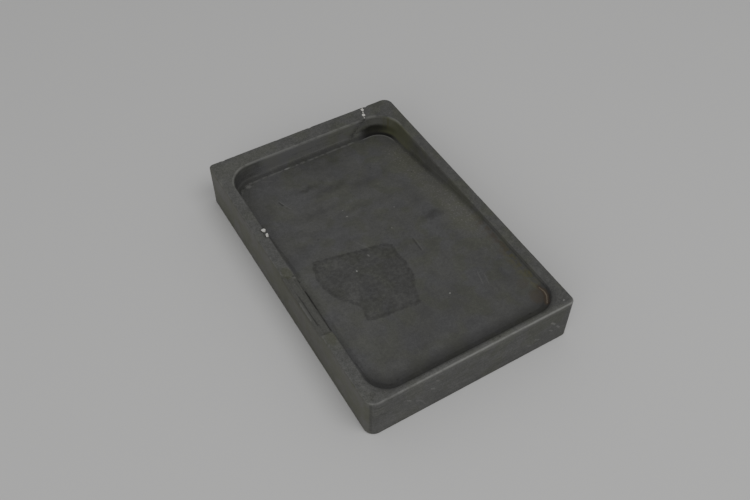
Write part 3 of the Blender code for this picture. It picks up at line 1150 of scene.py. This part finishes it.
# %% Colours of the slate
SLATE = (0.0780, 0.0782, 0.0745, 1.0)
COOL_SLATE = (0.0760, 0.0765, 0.0840, 1.0)
GREEN_SLATE = (0.0740, 0.0770, 0.0600, 1.0)
SPLIT_SLATE = (0.0760, 0.0765, 0.0690, 1.0)
OLD_INK = (0.0065, 0.0062, 0.0055, 1.0)
OLIVE_DIRT = (0.0460, 0.0470, 0.0270, 1.0)
BROWN_DIRT = (0.0560, 0.0430, 0.0270, 1.0)
YELLOW_DIRT = (0.0800, 0.0760, 0.0330, 1.0)
TAN_ARC = (0.2200, 0.1920, 0.1450, 1.0)
PALE_DUST = (0.2300, 0.2300, 0.2180, 1.0)
RUBBED_SLATE = (0.2000, 0.2010, 0.1900, 1.0)
WHITE_SCUFF = (0.3000, 0.3000, 0.2900, 1.0)
HAND_BROWN = (0.0880, 0.0850, 0.0700, 1.0)
HAND_GREEN = (0.0660, 0.0700, 0.0440, 1.0)
HAND_SHADE = (0.0460, 0.0470, 0.0320, 1.0)
WALL_MOSS = (0.1050, 0.1120, 0.0600, 1.0)
RIM_MOSS = (0.0620, 0.0660, 0.0360, 1.0)
REDDISH_BROWN = (0.0600, 0.0400, 0.0230, 1.0)
YELLOW_POWDER = (0.1550, 0.1550, 0.1150, 1.0)
CHALK = (0.4200, 0.4200, 0.4000, 1.0)


class Surface:
    """What every step of the slate needs to know about the spot being coloured, and its colour so far."""

    def __init__(self, tree):
        self.tree = tree
        self.place, normal = place_in_mm(tree)
        self.flat = vectors("MULTIPLY", self.place, (1.0, 1.0, 0.0))
        parts = node("ShaderNodeSeparateXYZ", {"Vector": self.place}).outputs
        self.x, self.y, self.z = parts["X"], parts["Y"], parts["Z"]
        facing = node("ShaderNodeSeparateXYZ", {"Vector": normal}).outputs
        self.facing_x, self.facing_y, self.facing_up = facing["X"], facing["Y"], facing["Z"]
        self.from_wall = stored(tree, "from_wall")
        self.from_outside = stored(tree, "from_outside")
        self.ragged = line(noise_of(self.place, 0.9, 3.0, 0.6), 1.4, -0.7)
        self.slow = line(noise_of(self.place, 5.0, 3.0, 0.55), 2.0, -1.0)
        self.rough = shaken(self.place, 0.8, 0.7)
        self.rough_flat = vectors("MULTIPLY", self.rough, (1.0, 1.0, 0.0))
        self.cloudy_flat = vectors("MULTIPLY", shaken(self.place, 6.0, 9.0), (1.0, 1.0, 0.0))
        self.upward = ease(self.facing_up, 0.25, 0.6)
        self.inside = ease(self.from_wall, -0.65, -0.35)
        self.outside_face = ease(self.from_outside, 0.5, 0.1)
        self.colour = SLATE

    def lay(self, over, *shares):
        """Lays a colour over the colour so far, by the product of the shares."""
        self.colour = blend(times(*shares), self.colour, over)


# %% Stone, clouds, layers, and painted light and shade
def bare_stone(at):
    clouds = noise_of(at.place, 26.0, 3.0, 0.5)
    patches = noise_of(at.place, 6.0, 3.0, 0.55)
    mottle = noise_of(at.place, 1.4, 3.0, 0.6)
    layers = noise_of(vectors("MULTIPLY", at.place, (0.05, 0.05, 1.3)), 1.0, 3.0, 0.6)
    side = ease(at.facing_up, 0.5, 0.1)
    strength = line(at.inside, -0.55, 1.05)
    grain = use_group(GRAIN, {"Place": at.place, "Size": 0.48, "Strength": strength})
    tone = line(clouds, 0.40, 0.80)
    tone = times(tone, line(patches, 0.50, 0.75))
    contrast = line(at.inside, -0.40, 0.95)
    tone = times(tone, line(maths("SUBTRACT", mottle, 0.5), contrast, 1.0))
    layered = line(maths("SUBTRACT", layers, 0.5), 0.80, 1.0)
    tone = times(tone, maths("POWER", layered, side), grain["Tone"])
    wall = times(at.inside, ease(at.from_wall, 0.9, 0.3), ease(at.facing_up, 0.5, 0.2))
    far_wall = times(wall, ease(at.y, 50.0, 58.0))
    lit_or_shaded = (
        (wall, 0.20),
        (times(wall, ease(at.x, 30.0, 38.0)), 0.30),
        (times(at.outside_face, ease(at.facing_y, -0.4, -0.9)), -0.08),
        (times(at.outside_face, side), -0.13),
        (times(far_wall, ease(at.x, -31.0, -20.0), ease(at.x, 34.0, 24.0)), 0.34),
        (times(far_wall, ease(at.x, -20.0, -31.0)), -0.28),
    )
    for mask, change in lit_or_shaded:
        tone = times(tone, line(mask, change, 1.0))
    # The floor is darker towards the near end and towards the right.
    floor_tone = ease(at.y, -72.0, 35.0, 0.86, 1.02)
    floor_tone = times(floor_tone, ease(at.x, -42.0, 10.0, 1.09, 0.95))
    # Painted light from the left: the rim and the sides are lighter at the left end and darker at the right.
    rim_light_from_left = ease(at.x, -40.0, 50.0, 1.12, 0.92)
    here = {"Value": at.inside, "To Min": rim_light_from_left, "To Max": floor_tone}
    tone = times(tone, node("ShaderNodeMapRange", here).outputs["Result"])
    at.colour = shades(tone, SLATE)
    cool = times(at.inside, ease(noise_of(at.flat, 17.0, 1.0, 0.5), 0.48, 0.62))
    at.lay(shades(tone, COOL_SLATE), cool, 0.34)
    green = ease(noise_of(at.place, 10.0, 2.0, 0.5), 0.46, 0.62)
    green = times(green, ease(at.x, -60.0, 45.0, 0.3, 0.7))
    at.lay(shades(tone, GREEN_SLATE), green)
    return grain["Height"], times(layers, side)


def handled_sides(at):
    """The left side is a little brown-green from hands; under the flake its top is dirt and painted shade.
    """
    left = times(at.outside_face, ease(at.facing_x, -0.5, -0.9))
    # Painted shade with olive dirt: the top of the left side under the flake is darkened.
    strip = times(left, band(at.z, 20.2, 2.2))
    strip = times(strip, ease(at.y, 8.0, 0.0), ease(at.y, -32.0, -24.0))
    green = ease(noise_of(at.place, 9.0, 2.0, 0.5), 0.44, 0.58)
    at.lay(HAND_BROWN, left, 0.40)
    at.lay(HAND_GREEN, left, green, 0.62)
    middle = times(left, ease(at.y, 22.0, 6.0), ease(at.y, -52.0, -34.0))
    at.lay(HAND_SHADE, middle, 0.28)
    at.lay(OLIVE_DIRT, strip, 0.60)


def fresh_breaks(at):
    split = stored(at.tree, SPLIT)
    grain = use_group(GRAIN, {"Place": at.place, "Size": 0.8, "Strength": 0.8})
    at.lay(shades(grain["Tone"], SPLIT_SLATE), split, 0.75)
    return split, grain["Height"]


# %% Ink, dirt and painted shade
def soaked_ink(at):
    """The large stain on the land, speckled inside and darkest along its border."""
    border = line(at.ragged, 1.1, stored(at.tree, "in_stain"))
    inside = times(ease(border, -0.35, 0.45), at.inside)
    mottle = ease(noise_of(at.flat, 1.7, 4.0, 0.68), 0.40, 0.60)
    worn = ease(noise_of(at.flat, 11.0, 1.0, 0.5), 0.42, 0.60)
    depth = line(mottle, -0.26, 0.40)
    depth = line(worn, -0.13, depth)
    depth = line(band(border, 0.9, 1.3), 0.14, depth, clamp=True)
    at.lay(OLD_INK, inside, depth)


def dried_ink_and_shade(at):
    """A soft dark strip behind the near rim, painted shade in the hollows, smudges, and a black corner."""
    wobble = line(at.slow, 1.2, at.from_wall)
    near_side = ease(at.y, -58.0, -66.0)
    near_strip = times(near_side, ease(wobble, -3.4, 1.6), ease(wobble, 9.0, 2.2))
    # Painted shade: the hollow at the foot of the walls is darkened with the colour of old ink.
    hollow = times(ease(at.from_wall, 0.1, 0.8), ease(at.from_wall, 2.8, 1.8))
    hollow = times(hollow, ease(at.z, 19.0, 16.0))
    at.lay(OLD_INK, spots(at.cloudy_flat, SMUDGES, 0.0), at.inside, 0.66)
    at.lay(OLD_INK, near_strip, 0.50)
    at.lay(OLD_INK, hollow, 0.38)
    # The black in the far right corner is dried ink with painted shade of the corner in it.
    corner = spots(at.rough_flat, [BLACK_CORNER_INK_AND_SHADE])
    low = ease(line(at.slow, 1.2, at.z), 19.0, 16.6)
    foot = ease(at.from_wall, 2.85, 2.55)
    at.lay(OLD_INK, corner, low, foot, at.inside)


def old_residue(at):
    """Olive and brown residue along the right wall, and a tan arc edged reddish brown in the near right
    corner.
    """
    wobble = line(at.slow, 1.1, at.from_wall)
    right = times(ease(at.x, 26.0, 36.0), at.inside)
    wall = times(right, ease(at.from_wall, 1.6, 0.3), ease(at.y, -66.0, -50.0))
    at.lay(OLIVE_DIRT, wall, 0.22)
    mossy = times(wall, ease(at.y, 40.0, 50.0), ease(at.y, 66.0, 60.0))
    at.lay(WALL_MOSS, mossy, 0.55)
    torn = ease(noise_of(at.flat, 3.2, 3.0, 0.6), 0.40, 0.60)
    strip = times(right, ease(wobble, 6.5, 2.0), ease(wobble, 0.2, 1.0), torn)
    brown = times(strip, ease(at.y, -4.0, -20.0), ease(at.y, -44.0, -36.0))
    yellow = times(strip, ease(at.y, -34.0, -42.0), ease(at.y, -66.0, -60.0))
    at.lay(BROWN_DIRT, brown, 0.50)
    at.lay(YELLOW_DIRT, yellow, 0.60)
    moss = times(spots(at.rough_flat, RIM_MOSS_SPOTS), ease(at.z, 12.0, 20.0))
    at.lay(RIM_MOSS, moss)
    at.lay(BROWN_DIRT, spots(at.rough_flat, CORNER_BLOTS))
    arc = list(zip(ARC_BENDS, ARC_BENDS[1:]))
    arc_border = scratches(at.rough_flat, [(*ends, 1.30, 0.60) for ends in arc])
    tan_arc = scratches(at.rough_flat, [(*ends, 0.27, 0.45) for ends in arc])
    drip = times(scratches(at.flat, from_above(WALL_DRIPS)), ease(at.z, 15.0, 18.0))
    at.lay(REDDISH_BROWN, arc_border)
    at.lay(YELLOW_DIRT, drip)
    at.lay(TAN_ARC, tan_arc)


# %% Tide lines and powder
def pale_deposits(at):
    """The line where ink once dried along the foot of the far wall, and powder by the right wall."""
    broken = ease(noise_of(at.flat, 2.2, 3.0, 0.65), 0.36, 0.58)
    line_place = line(at.slow, 0.35, at.from_wall)
    far_side = times(ease(at.y, 57.0, 61.0), ease(at.z, 15.5, 14.6))
    middle = times(far_side, ease(at.x, 26.0, 22.0), band(line_place, 2.35, 0.75), broken)
    crescent = times(ease(at.y, 54.0, 57.0), ease(at.x, 26.0, 31.0))
    crescent = times(crescent, band(line_place, 2.85, 0.45))
    speckle = ease(noise_of(at.flat, 0.85, 2.0, 0.5), 0.56, 0.70)
    powder = times(ease(at.from_wall, 0.6, 2.4), ease(at.from_wall, 17.0, 7.0))
    powder = times(powder, ease(at.x, 22.0, 30.0), at.inside)
    powder = times(powder, ease(at.y, -34.0, -10.0), ease(at.y, 57.0, 49.0))
    at.lay(YELLOW_POWDER, powder, 0.20)
    at.lay(PALE_DUST, powder, speckle, 0.38)
    at.lay(PALE_DUST, middle, 0.30)
    at.lay(PALE_DUST, crescent, 0.42)


# %% Marks, rubbed edges and painted highlights
def knocks(at):
    """Knocks and scratches from above, painted shade and highlight on the flake, then side lines and scuffs.
    """
    at.lay(OLD_INK, spots(at.rough_flat, DARK_SPOTS), at.upward, 0.8)
    at.lay(OLD_INK, scratches(at.rough_flat, from_above(DARK_SCRATCHES)), at.upward, 0.8)
    at.lay(CHALK, spots(at.rough_flat, LIGHT_SPOTS), at.upward)
    at.lay(RUBBED_SLATE, scratches(at.rough_flat, from_above(LIGHT_SCRATCHES)), at.upward, 0.45)
    # Dark lines on the near side, under its top edge, down its left corner and lower across it.
    at.lay(OLD_INK, scratches(at.rough, SIDE_DARKS), 0.8)
    at.lay(WHITE_SCUFF, scratches(at.rough, on_near_side(NEAR_SCUFFS)), 0.62)


def worn_and_highlit_edges(at):
    """How far a point is from the top outer edge is the larger of its ways in and down."""
    down = maths("SUBTRACT", TOP / MM, at.z)
    from_edge = maths("MAXIMUM", at.from_outside, down)
    wobble = line(at.slow, 0.25, from_edge)
    near = ease(at.y, -73.0, -75.0)
    right_end = ease(at.x, -48.0, 0.0, 0.25, 1.0)
    patchy = ease(noise_of(at.place, 4.0, 3.0, 0.6), 0.30, 0.62, 0.45, 1.0)
    # The near outer edge is painted much lighter: partly wear, partly a painted highlight.
    near_edge_wear_and_highlight = times(near, right_end, ease(wobble, 0.95, 0.35), patchy)
    soft = times(near, right_end, ease(wobble, 3.4, 0.6))
    worn = ease(noise_of(at.place, 3.0, 3.0, 0.6), 0.42, 0.62)
    any_edge = times(ease(wobble, 0.8, 0.2), worn)
    # The inner edge of the far rim is painted lighter: partly wear, partly a painted highlight.
    inner = times(band(at.from_wall, -0.55, 0.7), ease(at.z, 22.0, 22.8))
    worn = ease(noise_of(at.flat, 6.0, 2.0, 0.5), 0.30, 0.55)
    inner = times(inner, ease(at.y, 40.0, 62.0), worn)
    at.lay(RUBBED_SLATE, any_edge, 0.22)
    at.lay(RUBBED_SLATE, inner, 0.40)
    at.lay(RUBBED_SLATE, soft, 0.22)
    at.lay(RUBBED_SLATE, near_edge_wear_and_highlight, 0.85)
    return near_edge_wear_and_highlight


# %% [markdown]
# ## Putting the slate together
# Roughness follows the same story: broken stone and the dusty foot of the walls scatter light, and a
# rubbed edge shines a little. The height for the bump is written in millimetres, so the Bump node's
# distance is one millimetre and its strength is 1. It only carries what is finer than the mesh: grain,
# the thin layers that show on the sides, the broken surface and the tool marks on the walls.

# %% Slate material
PLAIN_ROUGHNESS = 0.56
BROKEN_ROUGHER = 0.22
DUSTY_ROUGHER = 0.34
RUBBED_SMOOTHER = 0.20
GRAIN_DEPTH = 0.030
LAYER_DEPTH = 0.050
TOOL_DEPTH = 0.060
BREAK_DEPTH = 0.110


def make_slate():
    material, tree, shader = new_material("honed slate", PLAIN_ROUGHNESS, 0.5)
    at = Surface(tree)
    grain_height, layers = bare_stone(at)
    handled_sides(at)
    split, split_height = fresh_breaks(at)
    for step in (soaked_ink, dried_ink_and_shade, old_residue, pale_deposits, knocks):
        step(at)
    near_edge_wear_and_highlight = worn_and_highlit_edges(at)
    plug(shader.inputs["Base Color"], at.colour)
    roughness = line(at.slow, 0.06, PLAIN_ROUGHNESS)
    roughness = line(split, BROKEN_ROUGHER, roughness)
    dusty = times(at.inside, ease(at.from_wall, 3.0, 2.2))
    roughness = line(dusty, DUSTY_ROUGHER, roughness)
    roughness = line(near_edge_wear_and_highlight, -RUBBED_SMOOTHER, roughness, clamp=True)
    plug(shader.inputs["Roughness"], roughness)
    tool = noise_of(vectors("MULTIPLY", at.place, (1.0, 1.0, 0.25)), 1.1, 2.0, 0.5)
    wall = times(at.inside, ease(at.facing_up, 0.6, 0.2))
    height = times(grain_height, GRAIN_DEPTH)
    height = line(layers, LAYER_DEPTH, height)
    height = line(times(tool, wall), TOOL_DEPTH, height)
    height = line(times(split, split_height), BREAK_DEPTH, height)
    bump = node("ShaderNodeBump", {"Height": height, "Strength": 1.0, "Distance": MM})
    plug(shader.inputs["Normal"], bump.outputs["Normal"])
    return material


slate = make_slate()
print("honed slate has", len(slate.node_tree.nodes), "nodes")

# %% [markdown]
# ## The white filler
# Someone once mended the crack and two chips with a white paste. It was dabbed on, so each bit is a
# lump of its own. A lump starts as an icosphere, is stretched, and its points are pushed about by
# noise. The paste is chalky, with dirt rubbed into it, and its low borders, where a lump sinks below
# the stone's top, are painted dark as shade in the gap round it.

# %% Filler material
PASTE = (0.6600, 0.6500, 0.6100, 1.0)
PASTE_DIRT = (0.2000, 0.1900, 0.1650, 1.0)
PASTE_GAP_SHADE = (0.0600, 0.0580, 0.0500, 1.0)


def make_filler():
    material, tree, shader = new_material("chalky filler", 0.8, 0.3)
    place, _ = place_in_mm(tree)
    grain = use_group(GRAIN, {"Place": place, "Size": 0.22, "Strength": 0.22})
    dirty = ease(noise_of(place, 0.7, 3.0, 0.65), 0.52, 0.68)
    colour = shades(grain["Tone"], PASTE)
    colour = blend(times(dirty, 0.45), colour, PASTE_DIRT)
    # Painted shade: the parts of a lump below the stone's top are darkened, as shade in the gap round it.
    low = ease(node("ShaderNodeSeparateXYZ", {"Vector": place}).outputs["Z"], 23.32, 23.12)
    colour = blend(times(low, 0.75), colour, PASTE_GAP_SHADE)
    plug(shader.inputs["Base Color"], colour)
    plug(shader.inputs["Roughness"], line(dirty, 0.08, 0.78))
    bump = node("ShaderNodeBump", {"Height": grain["Height"], "Strength": 1.0, "Distance": 0.03 * MM})
    plug(shader.inputs["Normal"], bump.outputs["Normal"])
    return material


filler = make_filler()
print("chalky filler has", len(filler.node_tree.nodes), "nodes")

# %% Lumps of filler
LUMP_ROUGHNESS = 0.30
LUMP_GRAIN = 0.10
FILLER_TOP = TOP + 0.14 * MM
SOFT_LIMIT = 0.1 * MM
# Each lump has its y, its half sizes in millimetres and its turn in degrees.
CRACK_LUMPS = (
    (FAR - 2.2 * MM, 0.74, 0.95, 0.60, 20.0), (RECESS.far + 3.3 * MM, 0.78, 1.05, 0.62, -12.0),
    (RECESS.far + 5.1 * MM, 0.28, 0.55, 0.40, 0.0), (RECESS.far + 1.4 * MM, 0.30, 0.45, 0.42, 30.0),
    (FAR - 0.9 * MM, 0.30, 0.40, 0.45, 0.0),
)
CRACK_LUMP_DEPTH = 0.38 * MM
THREAD_LUMPS = 9
THREAD_LUMP_HALF_SIZES = Vector((0.15, 0.62, 0.28)) * MM
THREAD_DEPTH = 0.50 * MM
THREAD_START = 0.9 * MM
THREAD_STEP = 0.85 * MM
CHIP_LUMP_DEPTH = 0.55 * MM
CHIP_LUMP_HALF_HEIGHT = 0.62 * MM
SMALL_LUMP_OFFSET = Vector((0.1, -0.9, -0.1)) * MM
SMALL_LUMP_HALF_SIZES = Vector((0.35, 0.40, 0.40)) * MM


def add_lump(bm, centre, half_sizes, turn, seed):
    """Adds an uneven lump, stretched and turned about the upright, that stays below the filler's top."""
    made = bmesh.ops.create_icosphere(bm, subdivisions=4, radius=1.0)["verts"]
    for vertex in made:
        coarse = rough(vertex.co, 0.75, seed)
        fine = rough(vertex.co, 0.3, seed + 3)
        vertex.co *= 1.0 + LUMP_ROUGHNESS * coarse + LUMP_GRAIN * fine
    bmesh.ops.scale(bm, vec=half_sizes, verts=made)
    bmesh.ops.rotate(bm, cent=(0, 0, 0), matrix=Matrix.Rotation(math.radians(turn), 3, "Z"), verts=made)
    bmesh.ops.translate(bm, vec=centre, verts=made)
    for vertex in made:
        over = vertex.co.z - FILLER_TOP + SOFT_LIMIT
        if over > 0.0:
            vertex.co.z = FILLER_TOP - SOFT_LIMIT + SOFT_LIMIT * math.tanh(over / SOFT_LIMIT)


def crack_filler_mesh():
    """Two large lumps, small ones between and beyond them, and a thread along the crack."""
    bm = bmesh.new()
    for seed, (y, half_x, half_y, half_z, turn) in enumerate(CRACK_LUMPS):
        centre = Vector((crack_x(y), y, TOP - CRACK_LUMP_DEPTH))
        add_lump(bm, centre, Vector((half_x, half_y, half_z)) * MM, turn, seed * 5.0)
    for number in range(THREAD_LUMPS):
        y = RECESS.far + THREAD_START + number * THREAD_STEP
        centre = Vector((crack_x(y), y, TOP - THREAD_DEPTH))
        add_lump(bm, centre, THREAD_LUMP_HALF_SIZES, 8.0, 40.0 + number * 2.0)
    return bm


def chip_filler_mesh(name, turn, seed):
    bm = bmesh.new()
    plug_low, plug_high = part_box(name)
    centre = (plug_low + plug_high) / 2
    half = (plug_high - plug_low) / 2
    centre.z = TOP - CHIP_LUMP_DEPTH
    add_lump(bm, centre, Vector((half.x * 0.95, half.y, CHIP_LUMP_HALF_HEIGHT)), turn, seed)
    add_lump(bm, centre + SMALL_LUMP_OFFSET, SMALL_LUMP_HALF_SIZES, turn, seed + 4)
    return bm


# %% [markdown]
# ## From bmesh to objects
# A finished piece sits at the origin, unturned and unscaled, with its place in its mesh, as the packed
# ones do. Each one takes the place of its imported node, rides the stone's only body, and gets its material.

# %% Make the objects
def make_piece(name, bm, material, packed_name):
    mesh = bpy.data.meshes.new(name)
    bmesh.ops.recalc_face_normals(bm, faces=bm.faces)
    bm.to_mesh(mesh)
    bm.free()
    mesh.shade_smooth()
    mesh.materials.append(material)
    piece = add_object(name, mesh)
    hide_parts(packed_name)
    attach(piece, "root")
    return piece


far_chip_bm = chip_filler_mesh("chip_plug_far", 25.0, 1.0)
near_chip_bm = chip_filler_mesh("chip_plug_near", -15.0, 9.0)
pieces = [
    make_piece("stone", stone_bm, slate, "stone_slab"),
    make_piece("crack_filler", crack_filler_mesh(), filler, "crack_seam_filler"),
    make_piece("chip_filler_far", far_chip_bm, filler, "chip_plug_far"),
    make_piece("chip_filler_near", near_chip_bm, filler, "chip_plug_near"),
]
for piece in pieces:
    print(piece.name, "has", sum(len(face.vertices) - 2 for face in piece.data.polygons), "triangles")
